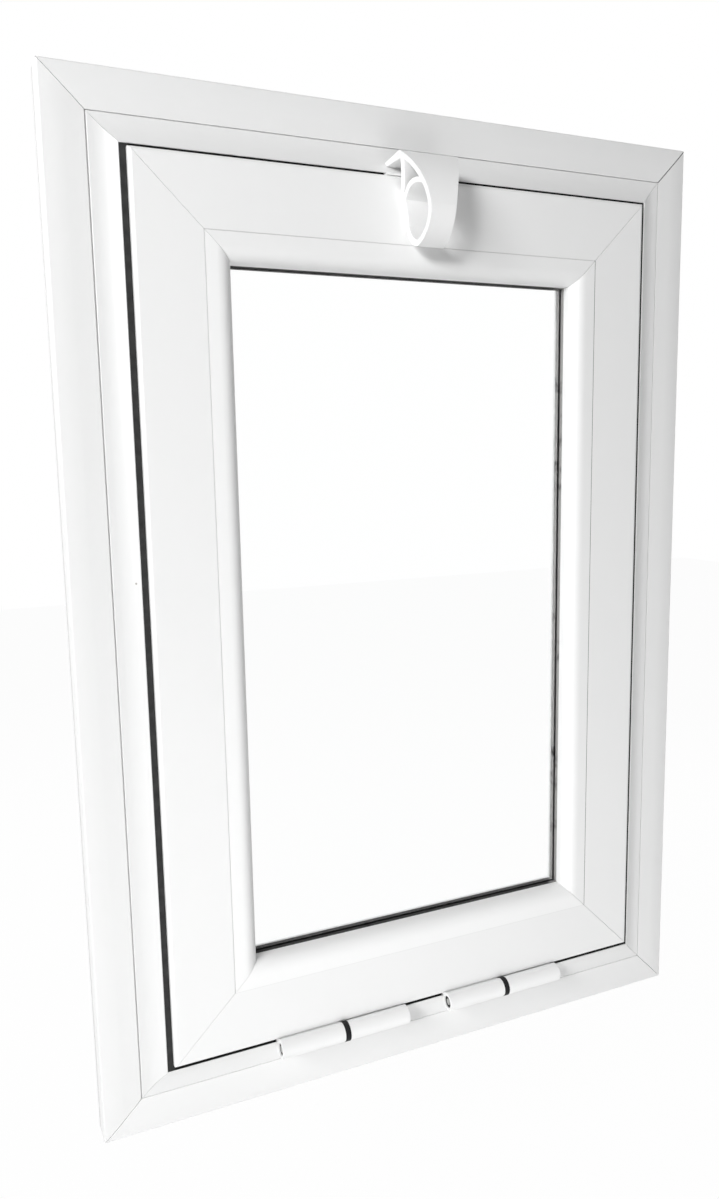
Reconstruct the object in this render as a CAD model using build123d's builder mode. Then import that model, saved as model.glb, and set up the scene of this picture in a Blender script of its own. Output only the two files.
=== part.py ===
"""Small bottom-hung transom window in white painted aluminium.

Millimetres. The wall's face is the plane Y = 0, the room is towards -Y, +Z is up.
The origin is the middle of the foot with which the bottom trim lies on the wall.
All four sides share one section, drawn in two measures: d runs from the outer
edge of the trim towards the glass, and h runs from the wall into the room.
"""

from build123d import *
import os
from math import sqrt

os.makedirs("parts", exist_ok=True)

# Frame body that goes into the wall opening
frame_width = 400.0
frame_height = 600.0
frame_body = 11.7
frame_behind_wall = 16.0
frame_wall = 1.4

# Trim strip around the frame, and its foot on the wall
trim_width = 25.0
trim_front = 20.0
trim_wall = 1.4
trim_rounded = 13.0
trim_radius = 85.0
trim_edge_radius = 1.5
trim_foot = 8.0
trim_clip_drop = 3.8
trim_clip_hook = 3.0
trim_clip_inset = 12.4
clip_clearance = 0.2

# Coved lip of the frame, next to the trim
trim_joint = 0.6
lip_width = 16.6
lip_step = 0.5
edge_softness = 0.5
cove_radius = 28.0
flange_reach = 11.3

# Stop and its seal, on the outside of the sash
stop_width = 15.8
stop_seal_height = 3.1
stop_seal_width = 5.0
stop_seal_inset = 1.2

# Seal in the gap round the sash
sash_gap = 4.0
sash_top_gap = 2.0
gap_seal_drop = 0.9
gap_seal_height = 13.5
gap_seal_stem = 1.0
gap_seal_lip = 1.5
gap_seal_clearance = 0.2
gap_seal_end_play = 0.4

# Sash rails and stiles
sash_face_width = 42.4
sash_depth = 25.0
sash_stand = 9.8
sash_wall = 1.4
sash_edge_radius = 2.5
glazing_lip_wall = 2.4
bead_ledge_width = 2.8

# Glass, glazing gaskets and bead
glass_thickness = 4.0
glass_edge_clearance = 2.3
outside_gasket_height = 3.6
outside_gasket_width = 4.6
room_gasket_height = 2.6
room_gasket_width = 3.0
gasket_show = 0.4
bead_joint = 0.2
bead_proud = 0.3
bead_flat = 7.5
bead_round = 9.8
bead_wall = 1.4

# Fine open line at each mitre, on each of the two bars, wider on the clipped trim
mitre_relief = 0.15
trim_mitre_relief = 0.3

# Hinges
hinge_spacing = 130.0
knuckle_length = 46.0
barrel_diameter = 13.0
barrel_bore = 8.6
washer_length = 4.0
washer_diameter = 13.4
washer_clearance = 0.05
pin_clearance = 0.1
pin_recess = 0.8
hinge_axis_out = 4.7
hinge_axis_front = 3.7
leaf_thickness = 2.3
leaf_depth = 12.0

# Latch lever, its hook over the frame's lip and its bracket in the gap
latch_drop = 3.5
lever_width = 42.2
lever_reach = 45.0
lever_proud = 35.2
lever_wall = 4.0
lever_web = 2.8
lever_rest = 0.3
lever_lip = 2.2
lever_waist = 16.8
waist_place = 32.5
punch_radius = 84.0
eye_width = 11.0
eye_radius = 3.4
latch_pin_diameter = 3.0
latch_pin_out = 2.6
latch_pin_front = 5.2
latch_side_play = 0.25
bracket_ear = 2.5
ear_radius = 2.6
bracket_wall = 1.4
bracket_depth = 9.0
bracket_set_back = 0.5

# Places across the section, d
lip_start = trim_width + trim_joint
frame_inner = lip_start + lip_width
frame_outer = frame_inner - frame_body
sash_outer = frame_inner + sash_gap
rebate = sash_outer + sash_face_width
bead_outer = rebate + bead_joint
bead_turn = bead_outer + bead_flat
bead_inner = bead_turn + bead_round
overall_width = frame_width + 2 * frame_outer
overall_height = frame_height + 2 * frame_outer
sash_lift = sash_gap - sash_top_gap

# Places through the section, h
sash_face = trim_front + sash_stand
sash_back = sash_face - sash_depth
stop_front = sash_back - stop_seal_height
frame_back = -frame_behind_wall
flange_front = trim_front - trim_wall
flange_back = flange_front - frame_wall
lip_front = trim_front + lip_step
glazing_lip_front = sash_back + glazing_lip_wall
glass_back = glazing_lip_front + outside_gasket_height
glass_front = glass_back + glass_thickness
bead_foot = glass_front + room_gasket_height
ledge_front = bead_foot + frame_wall
bead_front = sash_face + bead_proud


def cove_height(d):
    """Height h of the coved lip at the place d."""
    across = d - lip_start
    return lip_front + cove_radius - sqrt(cove_radius**2 - across**2)


def cove_inner(d):
    """Height h of the underside of the lip's wall at the place d."""
    inner_radius = cove_radius + frame_wall
    return lip_front + cove_radius - sqrt(inner_radius**2 - (d - lip_start) ** 2)


bottom_edge = -trim_foot / 2
middle_height = bottom_edge + overall_height / 2


def sides_of(height):
    """Plane and half length of each side of a window: X is d and Y is h."""
    middle = bottom_edge + height / 2
    half_width = overall_width / 2
    low = Plane(origin=(0, 0, bottom_edge), x_dir=(0, 0, 1), z_dir=(1, 0, 0))
    high = Plane(origin=(0, 0, bottom_edge + height), x_dir=(0, 0, -1), z_dir=(-1, 0, 0))
    left = Plane(origin=(-half_width, 0, middle), x_dir=(1, 0, 0), z_dir=(0, 0, -1))
    right = Plane(origin=(half_width, 0, middle), x_dir=(-1, 0, 0), z_dir=(0, 0, 1))
    return {
        "bottom": (low, half_width),
        "top": (high, half_width),
        "left": (left, height / 2),
        "right": (right, height / 2),
    }


# The sash stands closer to the frame at the top, as it rests on its hinges
frame_sides = sides_of(overall_height)
sash_sides = sides_of(overall_height + sash_lift)


def cut_mitres(side, half_length, relief):
    """Cut both ends of the current bar at 45 degrees to the window's corners."""
    for end in (1, -1):
        corner = side.origin + side.z_dir * (end * (half_length - relief))
        mitre = Plane(origin=corner, z_dir=side.x_dir + side.z_dir * end)
        split(bisect_by=mitre, keep=Keep.BOTTOM)


def box_between(d_low, h_low, d_high, h_high, mode=Mode.ADD):
    """Rectangle in the section from one corner to the other."""
    middle = ((d_low + d_high) / 2, (h_low + h_high) / 2)
    with Locations(middle):
        Rectangle(d_high - d_low, h_high - h_low, mode=mode)


def soften(d, h, radius=edge_softness):
    """Round the corner of the section at one place, as an extrusion's edges are."""
    fillet(vertices().sort_by_distance((d, h))[0], radius=radius)


def trim_section(side):
    """Clip-on cover strip: crowned towards its outer edge, with a foot and clip leg."""
    edge_height = trim_front - trim_radius + sqrt(trim_radius**2 - trim_rounded**2)
    inner_radius = trim_radius - trim_wall
    inner_run = trim_rounded - trim_wall
    inner_height = trim_front - trim_radius + sqrt(inner_radius**2 - inner_run**2)
    with BuildSketch(side) as section:
        with BuildLine():
            Polyline((trim_foot, 0), (0, 0), (0, edge_height))
            RadiusArc((0, edge_height), (trim_rounded, trim_front), trim_radius)
            Polyline(
                (trim_rounded, trim_front),
                (trim_width, trim_front),
                (trim_width, flange_front),
                (trim_rounded, flange_front),
            )
            RadiusArc((trim_rounded, flange_front), (trim_wall, inner_height), -inner_radius)
            Polyline(
                (trim_wall, inner_height),
                (trim_wall, trim_wall),
                (trim_foot, trim_wall),
                (trim_foot, 0),
            )
        make_face()
        leg_low = flange_front - trim_clip_drop
        leg_end = trim_clip_inset + trim_wall
        box_between(trim_clip_inset, leg_low, leg_end, flange_front)
        hook_front = flange_back - clip_clearance
        hook_end = trim_clip_inset + trim_clip_hook + trim_wall
        box_between(trim_clip_inset, leg_low, hook_end, hook_front)
        soften(0, edge_height, trim_edge_radius)
        soften(trim_width, trim_front)
    return section.sketch


def frame_section(side):
    """Hollow frame bar: flange under the trim, coved lip, tube and outside stop."""
    lip_edge = cove_height(frame_inner)
    with BuildSketch(side) as section:
        with BuildLine():
            Polyline(
                (lip_start, lip_front),
                (lip_start, flange_front),
                (lip_start - flange_reach, flange_front),
                (lip_start - flange_reach, flange_back),
                (frame_outer, flange_back),
                (frame_outer, frame_back),
                (frame_inner, frame_back),
                (frame_inner, stop_front - frame_wall),
                (frame_inner + stop_width, stop_front - frame_wall),
                (frame_inner + stop_width, stop_front),
                (frame_inner, stop_front),
                (frame_inner, lip_edge),
            )
            RadiusArc((frame_inner, lip_edge), (lip_start, lip_front), cove_radius)
        make_face()
        inside_low = frame_outer + frame_wall
        inside_high = frame_inner - frame_wall
        box_between(
            inside_low, frame_back + frame_wall, inside_high, flange_back, Mode.SUBTRACT
        )
        with BuildLine():
            Polyline(
                (inside_low, cove_inner(inside_low)),
                (inside_low, flange_front),
                (inside_high, flange_front),
                (inside_high, cove_inner(inside_high)),
            )
            RadiusArc(
                (inside_high, cove_inner(inside_high)),
                (inside_low, cove_inner(inside_low)),
                cove_radius + frame_wall,
            )
        make_face(mode=Mode.SUBTRACT)
        soften(lip_start, lip_front)
        soften(frame_inner, lip_edge)
    return section.sketch


def sash_section(side):
    """Two-chamber sash bar with its glazing lip and the ledge for the bead."""
    with BuildSketch(side) as section:
        box_between(sash_outer, sash_back, rebate, sash_face)
        fillet(
            vertices().group_by(Axis.X)[0].sort_by(Axis.Y)[-1], radius=sash_edge_radius
        )
        box_between(rebate, sash_back, bead_inner, glazing_lip_front)
        box_between(rebate, bead_foot, rebate + bead_ledge_width, ledge_front)
        web_middle = (sash_outer + rebate) / 2
        chamber_low = sash_back + sash_wall
        chamber_high = sash_face - sash_wall
        box_between(
            sash_outer + sash_wall,
            chamber_low,
            web_middle - sash_wall / 2,
            chamber_high,
            Mode.SUBTRACT,
        )
        box_between(
            web_middle + sash_wall / 2,
            chamber_low,
            rebate - sash_wall,
            chamber_high,
            Mode.SUBTRACT,
        )
    return section.sketch


def bead_section(side):
    """Snap-in glazing bead: flat top, quarter-round nose and two legs."""
    round_centre = bead_front - bead_round
    inner_round = bead_round - bead_wall
    with BuildSketch(side) as section:
        with BuildLine():
            Polyline(
                (bead_inner, round_centre),
                (bead_inner, bead_foot),
                (bead_inner - bead_wall, bead_foot),
                (bead_inner - bead_wall, round_centre),
            )
            RadiusArc(
                (bead_inner - bead_wall, round_centre),
                (bead_turn, bead_front - bead_wall),
                -inner_round,
            )
            Polyline(
                (bead_turn, bead_front - bead_wall),
                (bead_outer + bead_wall, bead_front - bead_wall),
                (bead_outer + bead_wall, ledge_front),
                (bead_outer, ledge_front),
                (bead_outer, bead_front),
                (bead_turn, bead_front),
            )
            RadiusArc((bead_turn, bead_front), (bead_inner, round_centre), bead_round)
        make_face()
    return section.sketch


# Mitred bars, four of each, all from their sections
bar_sections = {
    "trim": (trim_section, frame_sides, trim_mitre_relief),
    "frame": (frame_section, frame_sides, mitre_relief),
    "sash": (sash_section, sash_sides, mitre_relief),
    "glazing_bead": (bead_section, sash_sides, mitre_relief),
}

for bar_name, (draw_section, bar_sides, relief) in bar_sections.items():
    for side_name, (side, half_length) in bar_sides.items():
        with BuildPart() as bar:
            extrude(draw_section(side), amount=half_length, both=True)
            cut_mitres(side, half_length, relief)
        bar.part.label = f"{bar_name}_{side_name}"
        export_step(bar.part, f"parts/{bar_name}_{side_name}.step")


# Plane that faces the room at the wall, centred on the window
facing = Plane(origin=(0, 0, middle_height), x_dir=(1, 0, 0), z_dir=(0, -1, 0))


def pane_shape(d, lift, mode=Mode.ADD):
    """Rectangle at one place of the section, its top edge raised by the lift."""
    with Locations((0, lift / 2)):
        Rectangle(overall_width - 2 * d, overall_height + lift - 2 * d, mode=mode)


def ring_shape(d_outside, d_inside, outside_lift=0.0, inside_lift=0.0):
    """Rectangular ring round the window, between two places of the section."""
    pane_shape(d_outside, outside_lift)
    pane_shape(d_inside, inside_lift, Mode.SUBTRACT)


# Bulb seal on the stop, pressed by the back of the sash
stop_seal_in = frame_inner + stop_width - stop_seal_inset
with BuildPart() as stop_seal:
    with BuildSketch(facing.offset(stop_front)):
        ring_shape(stop_seal_in - stop_seal_width, stop_seal_in)
    extrude(amount=stop_seal_height)
stop_seal.part.label = "stop_seal"
export_step(stop_seal.part, "parts/stop_seal.step")

# Lip seal on the frame's side of the gap, cut away at the hinges and the latch
gap_seal_front = cove_height(frame_inner) - gap_seal_drop
hinge_reach = knuckle_length + washer_length / 2 + gap_seal_end_play
hinge_cut_back = sash_face + hinge_axis_front - leaf_depth - gap_seal_end_play
latch_cut_back = sash_face - bracket_depth - gap_seal_end_play
with BuildPart() as gap_seal:
    with BuildSketch(facing.offset(gap_seal_front - gap_seal_height)):
        ring_shape(frame_inner, frame_inner + gap_seal_stem)
    extrude(amount=gap_seal_height)
    with BuildSketch(facing.offset(gap_seal_front - gap_seal_lip)):
        ring_shape(frame_inner, sash_outer - gap_seal_clearance, inside_lift=sash_lift)
    extrude(amount=gap_seal_lip)
    with BuildSketch(facing.offset(hinge_cut_back)):
        hinge_gap = bottom_edge - middle_height + (frame_inner + sash_outer) / 2
        with Locations((-hinge_spacing / 2, hinge_gap), (hinge_spacing / 2, hinge_gap)):
            Rectangle(2 * hinge_reach, 2 * sash_gap)
    extrude(amount=trim_front, mode=Mode.SUBTRACT)
    with BuildSketch(facing.offset(latch_cut_back)):
        with Locations((0, overall_height / 2 - frame_inner)):
            Rectangle(lever_width + 2 * gap_seal_end_play, 2 * sash_gap)
    extrude(amount=trim_front, mode=Mode.SUBTRACT)
gap_seal.part.label = "gap_seal"
export_step(gap_seal.part, "parts/gap_seal.step")

# Gasket between the glazing lip and the glass
gasket_end = bead_inner + gasket_show
with BuildPart() as outside_gasket:
    with BuildSketch(facing.offset(glazing_lip_front)):
        ring_shape(gasket_end - outside_gasket_width, gasket_end, sash_lift, sash_lift)
    extrude(amount=outside_gasket_height)
outside_gasket.part.label = "glazing_gasket_outside"
export_step(outside_gasket.part, "parts/glazing_gasket_outside.step")

# Wedge gasket between the bead and the glass, with a thin lip on show
with BuildPart() as room_gasket:
    with BuildSketch(facing.offset(glass_front)):
        ring_shape(bead_inner - room_gasket_width, gasket_end, sash_lift, sash_lift)
    extrude(amount=room_gasket_height)
    front_edges = faces().sort_by(Axis.Y)[0].inner_wires()[0].edges()
    chamfer(front_edges, length=room_gasket_height / 2, length2=gasket_show / 2)
room_gasket.part.label = "glazing_gasket_room_side"
export_step(room_gasket.part, "parts/glazing_gasket_room_side.step")

# Float glass pane
glass_edge = rebate + glass_edge_clearance
with BuildPart() as glass_pane:
    with BuildSketch(facing.offset(glass_back)):
        pane_shape(glass_edge, sash_lift)
    extrude(amount=glass_thickness)
glass_pane.part.label = "glass_pane"
export_step(glass_pane.part, "parts/glass_pane.step")

# Hinges: two knuckles in line on one pin, each with a leaf down into the gap
hinge_d = sash_outer - hinge_axis_out
hinge_h = sash_face + hinge_axis_front
barrel_radius = barrel_diameter / 2
bottom_side = frame_sides["bottom"][0]


def knuckle(start, leaf_low):
    """One half of a hinge: bored barrel and the leaf that is screwed in the gap."""
    leaf_high = leaf_low + leaf_thickness
    leaf_end = hinge_h - leaf_depth
    with BuildPart() as half:
        with BuildSketch(bottom_side.offset(start)):
            with Locations((hinge_d, hinge_h)):
                Circle(barrel_radius)
            box_between(leaf_low, leaf_end, leaf_high, hinge_h)
            with Locations((hinge_d, hinge_h)):
                Circle(barrel_bore / 2, mode=Mode.SUBTRACT)
        extrude(amount=knuckle_length)
    return half.part


for hinge_name, hinge_x in (
    ("hinge_left", -hinge_spacing / 2),
    ("hinge_right", hinge_spacing / 2),
):
    washer_start = hinge_x - washer_length / 2
    washer_end = hinge_x + washer_length / 2

    sash_start = washer_start - knuckle_length
    sash_knuckle = knuckle(sash_start, sash_outer - leaf_thickness)
    sash_knuckle.label = f"{hinge_name}_sash_knuckle"
    export_step(sash_knuckle, f"parts/{hinge_name}_sash_knuckle.step")

    frame_knuckle = knuckle(washer_end, frame_inner)
    frame_knuckle.label = f"{hinge_name}_frame_knuckle"
    export_step(frame_knuckle, f"parts/{hinge_name}_frame_knuckle.step")

    with BuildPart() as washer:
        with BuildSketch(bottom_side.offset(washer_start + washer_clearance)):
            with Locations((hinge_d, hinge_h)):
                Circle(washer_diameter / 2)
                Circle(barrel_bore / 2, mode=Mode.SUBTRACT)
        extrude(amount=washer_length - 2 * washer_clearance)
    washer.part.label = f"{hinge_name}_washer"
    export_step(washer.part, f"parts/{hinge_name}_washer.step")

    pin_start = washer_start - knuckle_length + pin_recess
    pin_end = washer_end + knuckle_length - pin_recess
    with BuildPart() as pin:
        with BuildSketch(bottom_side.offset(pin_start)):
            with Locations((hinge_d, hinge_h)):
                Circle(barrel_bore / 2 - pin_clearance)
        extrude(amount=pin_end - pin_start)
    pin.part.label = f"{hinge_name}_pin"
    export_step(pin.part, f"parts/{hinge_name}_pin.step")

# Latch at the top: its section is drawn from a line a little below the frame's
# lip, on the sash's face, with X towards the glass and Y into the room
latch_zero = frame_inner + latch_drop
sash_edge = sash_top_gap - latch_drop
latch_side = Plane(
    origin=(0, -sash_face, bottom_edge + overall_height - latch_zero),
    x_dir=(0, 0, -1),
    z_dir=(-1, 0, 0),
)
pin_place = (-latch_pin_out, latch_pin_front)
apex = (-11.5, 16.2)
crown = (23.2, lever_proud)
tip = (lever_reach, 17.7)
heel = (30.0, lever_rest)
knee = (8.0, lever_rest)
hook_outside = -10.0
hook_inside = hook_outside + lever_lip
hook_low = cove_height(latch_zero + hook_inside) - sash_face + lever_rest

with BuildPart() as latch_lever:
    with BuildSketch(latch_side):
        with BuildLine():
            ThreePointArc(apex, (4.8, 30.4), crown)
            ThreePointArc(crown, (37.5, 29.3), tip)
            ThreePointArc(tip, (40.5, 7.0), heel)
            Polyline(heel, knee, apex)
        make_face()
        offset(amount=-lever_wall, mode=Mode.SUBTRACT)
        with BuildLine():
            web_line = ThreePointArc((15.0, 1.6), (7.0, 14.0), (9.5, 30.5))
        trace(web_line, lever_web)
        with BuildLine():
            Polyline(
                apex,
                (hook_inside, 18.0),
                (hook_inside, hook_low),
                (hook_outside, hook_low),
                close=True,
            )
        make_face()
    extrude(amount=lever_width / 2, both=True)
    with BuildSketch(facing.offset(sash_face - trim_front)):
        waist_height = overall_height / 2 - latch_zero - waist_place
        punch_place = lever_waist / 2 + punch_radius
        with Locations((-punch_place, waist_height), (punch_place, waist_height)):
            Circle(punch_radius)
    extrude(amount=sash_face + lever_proud, mode=Mode.SUBTRACT)
    with BuildSketch(latch_side):
        with Locations(pin_place):
            Circle(eye_radius)
    extrude(amount=eye_width / 2, both=True)
    with BuildSketch(latch_side):
        with Locations(pin_place):
            Circle(latch_pin_diameter / 2 + pin_clearance)
    extrude(amount=eye_width / 2, both=True, mode=Mode.SUBTRACT)
latch_lever.part.label = "latch_lever"
export_step(latch_lever.part, "parts/latch_lever.step")

# Bracket on the sash's edge, with an ear on each side of the lever's eye
ear_start = eye_width / 2 + latch_side_play
bracket_out = sash_edge - bracket_wall
with BuildPart() as latch_bracket:
    with BuildSketch(latch_side):
        box_between(bracket_out, -bracket_depth, sash_edge, -bracket_set_back)
    extrude(amount=lever_width / 2, both=True)
    for ear_low in (-ear_start - bracket_ear, ear_start):
        with BuildSketch(latch_side.offset(ear_low)):
            with Locations(pin_place):
                Circle(ear_radius)
            box_between(bracket_out, -bracket_depth, sash_edge, latch_pin_front)
        extrude(amount=bracket_ear)
    with BuildSketch(latch_side):
        with Locations(pin_place):
            Circle(latch_pin_diameter / 2)
    extrude(amount=ear_start + bracket_ear, both=True, mode=Mode.SUBTRACT)
latch_bracket.part.label = "latch_bracket"
export_step(latch_bracket.part, "parts/latch_bracket.step")

# Pin through the ears and the eye
with BuildPart() as latch_pin:
    with BuildSketch(latch_side):
        with Locations(pin_place):
            Circle(latch_pin_diameter / 2)
    extrude(amount=ear_start + bracket_ear, both=True)
latch_pin.part.label = "latch_pin"
export_step(latch_pin.part, "parts/latch_pin.step")
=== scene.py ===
"""Looks of a small bottom-hung transom window in white powder-coated aluminium.

Metres. The window stands upright, its room side faces -Y, and Z is up.
"""

from math import radians

import bmesh
import bpy
from mathutils import Matrix, Vector


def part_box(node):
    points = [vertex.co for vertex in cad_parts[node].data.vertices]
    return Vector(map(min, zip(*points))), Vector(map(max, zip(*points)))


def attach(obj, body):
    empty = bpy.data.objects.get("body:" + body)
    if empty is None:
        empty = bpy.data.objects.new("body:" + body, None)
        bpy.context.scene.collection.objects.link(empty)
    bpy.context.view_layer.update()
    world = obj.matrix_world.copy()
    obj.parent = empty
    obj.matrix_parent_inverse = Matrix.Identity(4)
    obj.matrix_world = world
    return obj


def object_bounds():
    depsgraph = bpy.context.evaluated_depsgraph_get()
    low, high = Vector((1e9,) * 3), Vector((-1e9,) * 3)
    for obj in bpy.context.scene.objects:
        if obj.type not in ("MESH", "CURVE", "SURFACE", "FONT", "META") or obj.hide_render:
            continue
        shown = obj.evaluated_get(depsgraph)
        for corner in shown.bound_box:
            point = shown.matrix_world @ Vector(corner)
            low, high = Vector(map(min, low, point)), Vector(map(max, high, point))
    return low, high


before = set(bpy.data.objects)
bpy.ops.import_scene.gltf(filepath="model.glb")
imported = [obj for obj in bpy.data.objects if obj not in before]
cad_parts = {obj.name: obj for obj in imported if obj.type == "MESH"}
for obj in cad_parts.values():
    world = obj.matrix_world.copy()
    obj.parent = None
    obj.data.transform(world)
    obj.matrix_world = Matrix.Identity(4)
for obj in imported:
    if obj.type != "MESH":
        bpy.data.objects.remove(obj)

cad_low, cad_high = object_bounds()

# The viewpoint: a little above the middle of the window, to the left of it and
# close in front, so that its upright sides run apart towards the top
camera_place = Vector((-0.2987, -0.5963, 0.4347))
looked_at = Vector((-0.0462, -0.0298, 0.3420))
camera_roll = radians(-1.08)
focal_pixels = 941.8
picture_height = 1199
sensor_width = 36.0
nearest_seen = 0.01

lens = bpy.data.cameras.new("camera")
lens.sensor_width = sensor_width
# The picture is upright, so the sensor's width lies along its height
lens.lens = focal_pixels / picture_height * sensor_width
lens.clip_start = nearest_seen
camera = bpy.data.objects.new("camera", lens)
bpy.context.scene.collection.objects.link(camera)
camera.location = camera_place
aim = (looked_at - camera_place).to_track_quat("-Z", "Y").to_matrix().to_4x4()
camera.rotation_euler = (aim @ Matrix.Rotation(camera_roll, 4, "Z")).to_euler()
bpy.context.scene.camera = camera


# Plain pale surroundings: a floor a little under the window and a white world,
# which the camera, gloss and glass see at full strength, while the window itself
# is lit by a dimmer, even share of it
class Wire:
    """One shader socket, so that masks and mixes read as plain arithmetic."""

    def __init__(self, tree, socket=None):
        self.tree = tree
        self.socket = socket

    def node(self, kind, settings=None, inputs=None, output=0):
        """A new node, with its settings and the values or wires of its sockets."""
        new = self.tree.nodes.new(kind)
        for name, value in (settings or {}).items():
            setattr(new, name, value)
        for name, value in (inputs or {}).items():
            if isinstance(value, Wire):
                self.tree.links.new(value.socket, new.inputs[name])
            else:
                new.inputs[name].default_value = value
        return Wire(self.tree, new.outputs[output])

    def beside(self, name):
        """Another output of the node that this wire leaves."""
        return Wire(self.tree, self.socket.node.outputs[name])

    def into(self, shader, name):
        """Plug this wire into a socket of a shader."""
        self.tree.links.new(self.socket, shader.inputs[name])

    def maths(self, operation, first, second):
        """A Math node on two values, either of which may be a plain number."""
        return self.node("ShaderNodeMath", {"operation": operation}, {0: first, 1: second})

    def __add__(self, other):
        return self.maths("ADD", self, other)

    def __radd__(self, other):
        return self.maths("ADD", other, self)

    def __sub__(self, other):
        return self.maths("SUBTRACT", self, other)

    def __rsub__(self, other):
        return self.maths("SUBTRACT", other, self)

    def __mul__(self, other):
        return self.maths("MULTIPLY", self, other)

    def __rmul__(self, other):
        return self.maths("MULTIPLY", other, self)

    def __gt__(self, other):
        return self.maths("GREATER_THAN", self, other)

    def __lt__(self, other):
        return self.maths("LESS_THAN", self, other)

    def most(self, other):
        """The greater of two values."""
        return self.maths("MAXIMUM", self, other)

    def ramp(self, low, high):
        """0 below the low value, 1 above the high one, and smooth between."""
        settings = {"interpolation_type": "SMOOTHSTEP"}
        limits = {"Value": self, "From Min": low, "From Max": high}
        return self.node("ShaderNodeMapRange", settings, limits)

    def part(self, name):
        """One of the X, Y and Z of a vector."""
        return self.node("ShaderNodeSeparateXYZ", None, {"Vector": self}, output=name)

    def colour(self, first, second):
        """Mix of two colours, with this value as the factor."""
        first, second = (
            tone if isinstance(tone, Wire) else (*tone, 1.0) for tone in (first, second)
        )
        # The Mix node's colour sockets go by number, as its other kinds share their names
        inputs = {0: self, 6: first, 7: second}
        return self.node("ShaderNodeMix", {"data_type": "RGBA"}, inputs, output=2)


def seen_directly(tree):
    """1 on camera, mirror and glass rays, and 0 on the rays that carry light."""
    camera_ray = Wire(tree).node("ShaderNodeLightPath", output="Is Camera Ray")
    mirror_ray = camera_ray.beside("Is Glossy Ray")
    glass_ray = camera_ray.beside("Is Transmission Ray")
    return camera_ray.most(mirror_ray).most(glass_ray)


even_light = 0.10
world = bpy.data.worlds.new("pale_surroundings")
world.use_nodes = True
bpy.context.scene.world = world
background = world.node_tree.nodes["Background"]
background.inputs["Color"].default_value = (1.0, 1.0, 1.0, 1.0)
(even_light + (1 - even_light) * seen_directly(world.node_tree)).into(background, "Strength")

floor_drop = 0.22
floor_size = 8.0
floor_white = 0.90
floor_roughness = 0.9
floor_glow = 1.0
floor_glow_share = 0.97
sheet = bmesh.new()
bmesh.ops.create_grid(sheet, x_segments=1, y_segments=1, size=floor_size / 2)
bmesh.ops.translate(sheet, verts=sheet.verts, vec=(0, 0, cad_low.z - floor_drop))
floor_mesh = bpy.data.meshes.new("floor")
sheet.to_mesh(floor_mesh)
sheet.free()
floor = bpy.data.objects.new("floor", floor_mesh)
bpy.context.scene.collection.objects.link(floor)

floor_finish = bpy.data.materials.new("pale_floor")
floor_finish.use_nodes = True
tree = floor_finish.node_tree
matt = tree.nodes["Principled BSDF"]
matt.inputs["Base Color"].default_value = (floor_white, floor_white, floor_white, 1.0)
matt.inputs["Roughness"].default_value = floor_roughness
glow = Wire(tree).node("ShaderNodeEmission", None, {"Strength": floor_glow})
share = floor_glow_share * seen_directly(tree)
shaders = {"Fac": share, 1: Wire(tree, matt.outputs["BSDF"]), 2: glow}
floor_mix = Wire(tree).node("ShaderNodeMixShader", None, shaders)
floor_mix.into(tree.nodes["Material Output"], "Surface")
floor.data.materials.append(floor_finish)

# Soft studio lamps: two high on the left, weak ones overhead and low in front, and
# two behind, for the right edge and for the side that faces outdoors. The low one
# and the two behind don't show in gloss or through the glass
window_middle = (cad_low + cad_high) / 2
for lamp_name, lamp_place, lamp_size, lamp_watts, shows in (
    ("main_lamp", (-1.55, -1.45, 1.00), 0.5, 22.9, True),
    ("side_lamp", (-1.60, -0.90, 1.20), 0.5, 12.7, True),
    ("overhead_lamp", (0.0, -0.25, 1.50), 0.8, 0.7, True),
    ("low_front_lamp", (-0.05, -0.50, -0.15), 0.8, 2.05, False),
    ("right_edge_lamp", (1.60, 0.35, 0.50), 0.8, 10.0, False),
    ("outdoor_lamp", (-0.90, 1.40, 0.90), 0.8, 14.0, False),
):
    lamp_data = bpy.data.lights.new(lamp_name, "AREA")
    lamp_data.shape = "DISK"
    lamp_data.size = lamp_size
    lamp_data.energy = lamp_watts
    lamp = bpy.data.objects.new(lamp_name, lamp_data)
    bpy.context.scene.collection.objects.link(lamp)
    lamp.location = lamp_place
    lamp.visible_glossy = shows
    lamp.visible_transmission = shows
    to_window = window_middle - Vector(lamp_place)
    lamp.rotation_euler = to_window.to_track_quat("-Z", "Y").to_euler()

# The bars, trim and beads: extruded aluminium, mitred, then powder coated white.
# The baked coat has a fine orange peel and a satin gloss, clouds a little in
# broad patches, and holds a few specks of dust
coat_light = (0.890, 0.892, 0.890)
coat_dull = (0.860, 0.863, 0.861)
patch_scale = 6.0
coat_roughness = 0.36
gloss_swing = 0.10
gloss_scale = 45.0
peel_scale = 1400.0
peel_strength = 0.10
peel_depth = 0.0002
speck_grey = (0.40, 0.38, 0.35)
speck_scale = 42.0
speck_size = 0.028
speck_free_share = 0.955
# The grey of the painted shade in the joints and the trim's top right mitre, and of the
# darkening along the trim's foot
dark_mark_grey = (0.120, 0.117, 0.114)


def new_finish(name):
    """An empty node material, its shader, and its Object coordinates as a wire."""
    finish = bpy.data.materials.new(name)
    finish.use_nodes = True
    shader = finish.node_tree.nodes["Principled BSDF"]
    place = Wire(finish.node_tree).node("ShaderNodeTexCoord", output="Object")
    return finish, shader, place


def noise(place, scale, detail=2.0, roughness=0.5):
    """Even noise between 0 and 1, finer the greater its scale."""
    inputs = {"Vector": place, "Scale": scale, "Detail": detail, "Roughness": roughness}
    return place.node("ShaderNodeTexNoise", None, inputs)


def bump(height, strength, depth):
    """The normal of an uneven surface, from its height and its depth in metres."""
    inputs = {"Height": height, "Strength": strength, "Distance": depth}
    return height.node("ShaderNodeBump", None, inputs)


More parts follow.
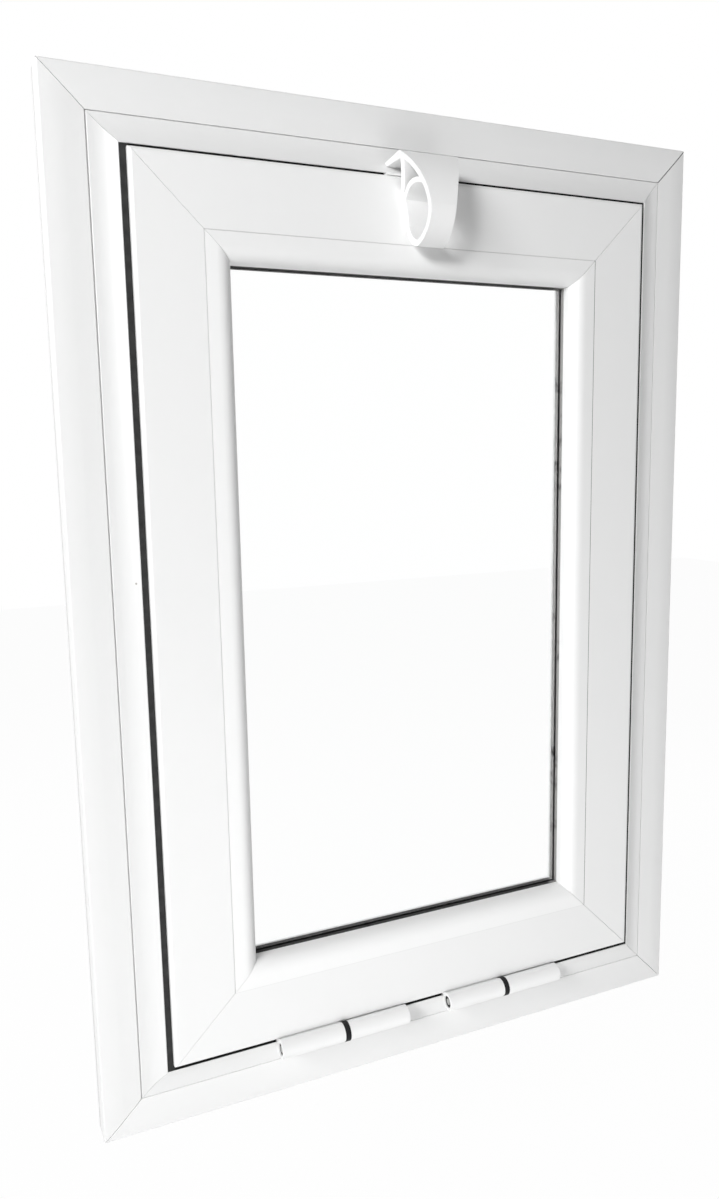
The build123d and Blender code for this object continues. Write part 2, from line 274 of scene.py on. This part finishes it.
def white_coat(name, roughness=coat_roughness, pale=coat_light, shade=1.0, darkened=None):
    """The coat, times a shade factor that paints shade below 1 and light above 1, darkened
    where the function darkened puts it.
    """
    finish, shader, place = new_finish(name)
    dull = [shade * part for part in coat_dull]
    pale = [shade * part for part in pale]
    patches = noise(place, patch_scale, detail=3.0)
    cells = place.node("ShaderNodeTexVoronoi", None, {"Vector": place, "Scale": speck_scale})
    chance = place.node("ShaderNodeSeparateColor", None, {"Color": cells.beside("Color")})
    speck = (cells < speck_size) * (chance > speck_free_share)
    tone = speck.colour(patches.colour(dull, pale), speck_grey)
    if darkened:
        tone = darkened(place).colour(tone, dark_mark_grey)
    tone.into(shader, "Base Color")
    (roughness + gloss_swing * noise(place, gloss_scale)).into(shader, "Roughness")
    bump(noise(place, peel_scale), peel_strength, peel_depth).into(shader, "Normal")
    return finish


def dress(node_name, finish):
    """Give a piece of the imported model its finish."""
    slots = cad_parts[node_name].data.materials
    slots.clear()
    slots.append(finish)


coat = white_coat("white_powder_coat")
for side in ("top", "right"):
    dress(f"glazing_bead_{side}", coat)

# One coat in painted shade and light: the frame is a little greyer than the sash on three
# sides, at the left most, as darker copies of the coat, and the left and bottom beads are
# the whitest, as a lighter copy
lit_bead_shade = 1.05
for side, shade in (("top", 0.955), ("bottom", 0.925), ("left", 0.875)):
    dress(f"frame_{side}", white_coat(f"frame_{side}_powder_coat", shade=shade))
lit_bead_coat = white_coat("lit_bead_powder_coat", shade=lit_bead_shade)
for side in ("left", "bottom"):
    dress(f"glazing_bead_{side}", lit_bead_coat)

# Painted shade in the long joints, from sash to bead all round and from frame to trim on the
# right: darkest on the right bars, faint at the left and top, fainter still at the bottom
joint_shade_reach = 0.00065
right_trim_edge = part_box("trim_right")[0].x
left_bead_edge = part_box("glazing_bead_left")[0].x
right_bead_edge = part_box("glazing_bead_right")[1].x
top_bead_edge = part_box("glazing_bead_top")[1].z
bottom_bead_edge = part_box("glazing_bead_bottom")[0].z


def joint_shade_beside(axis, edge, share):
    """Painted shade on the hair's breadth of a bar next to its neighbour's edge."""

    def darkened(place):
        from_edge = place.part(axis) - edge
        return share * (from_edge * from_edge < joint_shade_reach**2)

    return darkened


for bar, axis, edge, share in (
    ("frame_right", "X", right_trim_edge, 1.0),
    ("sash_right", "X", right_bead_edge, 1.0),
    ("sash_left", "X", left_bead_edge, 0.22),
    ("sash_top", "Z", top_bead_edge, 0.22),
    ("sash_bottom", "Z", bottom_bead_edge, 0.07),
):
    dress(bar, white_coat(f"{bar}_powder_coat", darkened=joint_shade_beside(axis, edge, share)))

# The trim strip has the same coat, a hair greyer, at the left most, as painted shade. It is
# darker along its foot, over the few millimetres nearest the wall, and a dark line of
# painted shade runs along its top right mitre
foot_unmarked_height = 0.0080
foot_darkest_height = 0.0030
foot_dark_share = 0.30
open_mitre_half_width = 0.00035
open_mitre_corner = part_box("trim_right")[1]


def darkened_trim(place):
    """Darkening along the foot, and painted shade in the open mitre, on the right half
    alone.
    """
    foot = foot_dark_share * place.part("Y").ramp(-foot_unmarked_height, -foot_darkest_height)
    corner_offset = open_mitre_corner.z - open_mitre_corner.x
    from_mitre = place.part("X") - place.part("Z") + corner_offset
    at_mitre = (from_mitre * from_mitre < open_mitre_half_width**2) * (place.part("X") > 0.0)
    return foot.most(at_mitre)


# Darker copies of the coat, as painted shade, the left darkest
for side, shade in (("top", 0.97), ("bottom", 0.97), ("left", 0.93), ("right", 0.97)):
    trim_coat = white_coat(f"trim_{side}_powder_coat", shade=shade, darkened=darkened_trim)
    dress(f"trim_{side}", trim_coat)

# The pane: clear float glass, faintly green in its thickness, wiped but not quite
# free of smears
glass_tint = (0.996, 0.999, 0.998)
glass_ior = 1.50
clean_roughness = 0.004
smear_roughness = 0.02
smear_scale = 9.0
glass, shader, place = new_finish("clear_float_glass")
shader.inputs["Base Color"].default_value = (*glass_tint, 1.0)
shader.inputs["Transmission Weight"].default_value = 1.0
shader.inputs["IOR"].default_value = glass_ior
smears = noise(place, smear_scale, detail=4.0)
(clean_roughness + smear_roughness * smears).into(shader, "Roughness")
dress("glass_pane", glass)

# Seals and glazing gaskets: black rubber, pressed round the pane and in the gap. The seal's
# top and bottom runs are painted black as the shade deep in the gap, and its two uprights
# are a mottled grey. Cutting dust has settled in blotches on the gaskets, heaviest on the
# right upright, where the heavier film is also painted light from the lamps on the left
rubber_black = (0.003, 0.003, 0.003)
rubber_grey = (0.060, 0.060, 0.060)
rubber_specular = 0.15
rubber_roughness = 0.55
rubber_roughness_swing = 0.20
rubber_grain_scale = 2600.0
rubber_grain_strength = 0.2
rubber_grain_depth = 0.0002
mottle_scale = 160.0
# Bounds of the seal's uprights, which stay grey; its runs between them are painted black as
# shade
upright_from = 0.1825
upright_to = 0.1840
settled_dust_and_light = (0.400, 0.396, 0.392)
wiped_dust_and_light = (0.300, 0.296, 0.292)
blotch_scale = 70.0
blotch_from = 0.24
blotch_to = 0.46
thin_dust_share = 0.06
# Bounds of the right upright, where the film thickens, partly as painted light
lit_right_from = 0.116
lit_right_to = 0.122


def black_rubber(name, dust_and_light=None):
    """Mottled rubber, under a blotchy film of dust that is partly painted light, or else
    painted black as shade away from its uprights.
    """
    finish, shader, place = new_finish(name)
    mottle = noise(place, mottle_scale, detail=4.0, roughness=0.6)
    across = place.part("X")
    if dust_and_light:
        blotches = noise(place, blotch_scale, roughness=0.55).ramp(blotch_from, blotch_to)
        at_right = across.ramp(lit_right_from, lit_right_to)
        film = blotches * (thin_dust_share + (1 - thin_dust_share) * at_right)
        tone = film.colour(mottle.colour(rubber_black, rubber_grey), dust_and_light)
    else:
        on_upright = (across * across).ramp(upright_from**2, upright_to**2)
        tone = (mottle * on_upright).colour(rubber_black, rubber_grey)
    tone.into(shader, "Base Color")
    shader.inputs["Specular IOR Level"].default_value = rubber_specular
    (rubber_roughness + rubber_roughness_swing * mottle).into(shader, "Roughness")
    grain = noise(place, rubber_grain_scale)
    bump(grain, rubber_grain_strength, rubber_grain_depth).into(shader, "Normal")
    return finish


seal_rubber = black_rubber("black_seal_rubber")
dress("gap_seal", seal_rubber)
dress("stop_seal", seal_rubber)
dress("glazing_gasket_room_side", black_rubber("wiped_dust_and_light_gasket_rubber", dust_and_light=wiped_dust_and_light))
dress("glazing_gasket_outside", black_rubber("dust_and_light_gasket_rubber", dust_and_light=settled_dust_and_light))

# Hinges: knuckles sawn from an extrusion and coated a cleaner white than the bars, a lighter
# copy of the coat that is partly painted light, each lined with a black nylon bush, and a
# nylon washer between the two halves
lit_fresh_white = (0.950, 0.951, 0.950)
hinge_roughness = 0.32
hinge_coat = white_coat("hinge_powder_coat", roughness=hinge_roughness, pale=lit_fresh_white)
nylon_black = (0.003, 0.003, 0.003)
nylon_worn = (0.014, 0.014, 0.015)
nylon_specular = 0.2
nylon_roughness = 0.42
nylon_roughness_swing = 0.2
nylon_grain_scale = 1900.0
nylon_grain_strength = 0.15
nylon_grain_depth = 0.0002
scuff_scale = 420.0
nylon, shader, place = new_finish("black_nylon")
shader.inputs["Specular IOR Level"].default_value = nylon_specular
scuffs = noise(place, scuff_scale, detail=3.0)
scuffs.colour(nylon_black, nylon_worn).into(shader, "Base Color")
(nylon_roughness + nylon_roughness_swing * scuffs).into(shader, "Roughness")
grain = noise(place, nylon_grain_scale)
bump(grain, nylon_grain_strength, nylon_grain_depth).into(shader, "Normal")
for hinge in ("hinge_left", "hinge_right"):
    dress(f"{hinge}_sash_knuckle", hinge_coat)
    dress(f"{hinge}_frame_knuckle", hinge_coat)
    dress(f"{hinge}_washer", nylon)
    dress(f"{hinge}_pin", nylon)

# Steel core of each hinge pin: a drawn rod that runs through the nylon and shows
# as a small grey disc, its edge broken, a little proud of the black at both ends
core_diameter = 0.0046
core_proud = 0.0003
core_chamfer = 0.0004
core_facets = 40
chamfer_facets = 2
level_within = 1e-6
steel_dark = (0.46, 0.46, 0.45)
steel_light = (0.64, 0.64, 0.63)
steel_roughness = 0.28
steel_roughness_swing = 0.2
drawn_scale = 900.0
drawn_strength = 0.1
drawn_depth = 0.0001
steel, shader, place = new_finish("drawn_steel")
shader.inputs["Metallic"].default_value = 1.0
drawn = noise(place, drawn_scale)
drawn.colour(steel_dark, steel_light).into(shader, "Base Color")
(steel_roughness + steel_roughness_swing * drawn).into(shader, "Roughness")
bump(drawn, drawn_strength, drawn_depth).into(shader, "Normal")
for hinge in ("hinge_left", "hinge_right"):
    low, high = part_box(f"{hinge}_pin")
    rod = bmesh.new()
    bmesh.ops.create_cone(
        rod,
        cap_ends=True,
        segments=core_facets,
        radius1=core_diameter / 2,
        radius2=core_diameter / 2,
        depth=high.x - low.x + 2 * core_proud,
    )
    rims = [
        edge
        for edge in rod.edges
        if abs(edge.verts[0].co.z - edge.verts[1].co.z) < level_within
    ]
    bmesh.ops.bevel(
        rod,
        geom=rims,
        offset=core_chamfer,
        segments=chamfer_facets,
        profile=0.5,
        affect="EDGES",
        material=-1,
    )
    bmesh.ops.rotate(rod, verts=rod.verts, matrix=Matrix.Rotation(radians(90), 3, "Y"))
    bmesh.ops.translate(rod, verts=rod.verts, vec=(low + high) / 2)
    core_mesh = bpy.data.meshes.new(f"{hinge}_steel_core")
    rod.to_mesh(core_mesh)
    rod.free()
    core = bpy.data.objects.new(f"{hinge}_steel_core", core_mesh)
    bpy.context.scene.collection.objects.link(core)
    core.data.materials.append(steel)
    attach(core, "root")

# Latch: the lever is a slice of a hollow extrusion with punched sides, coated
# white, and it turns on a steel pin between the ears of its bracket
lever_roughness = 0.30
# The lever takes the hinges' lighter white, partly painted light on its edges and in its
# hollows
lever_coat = white_coat("lever_powder_coat", roughness=lever_roughness, pale=lit_fresh_white)
dress("latch_lever", lever_coat)
dress("latch_bracket", coat)
dress("latch_pin", steel)

bpy.context.scene.view_settings.view_transform = "Standard"
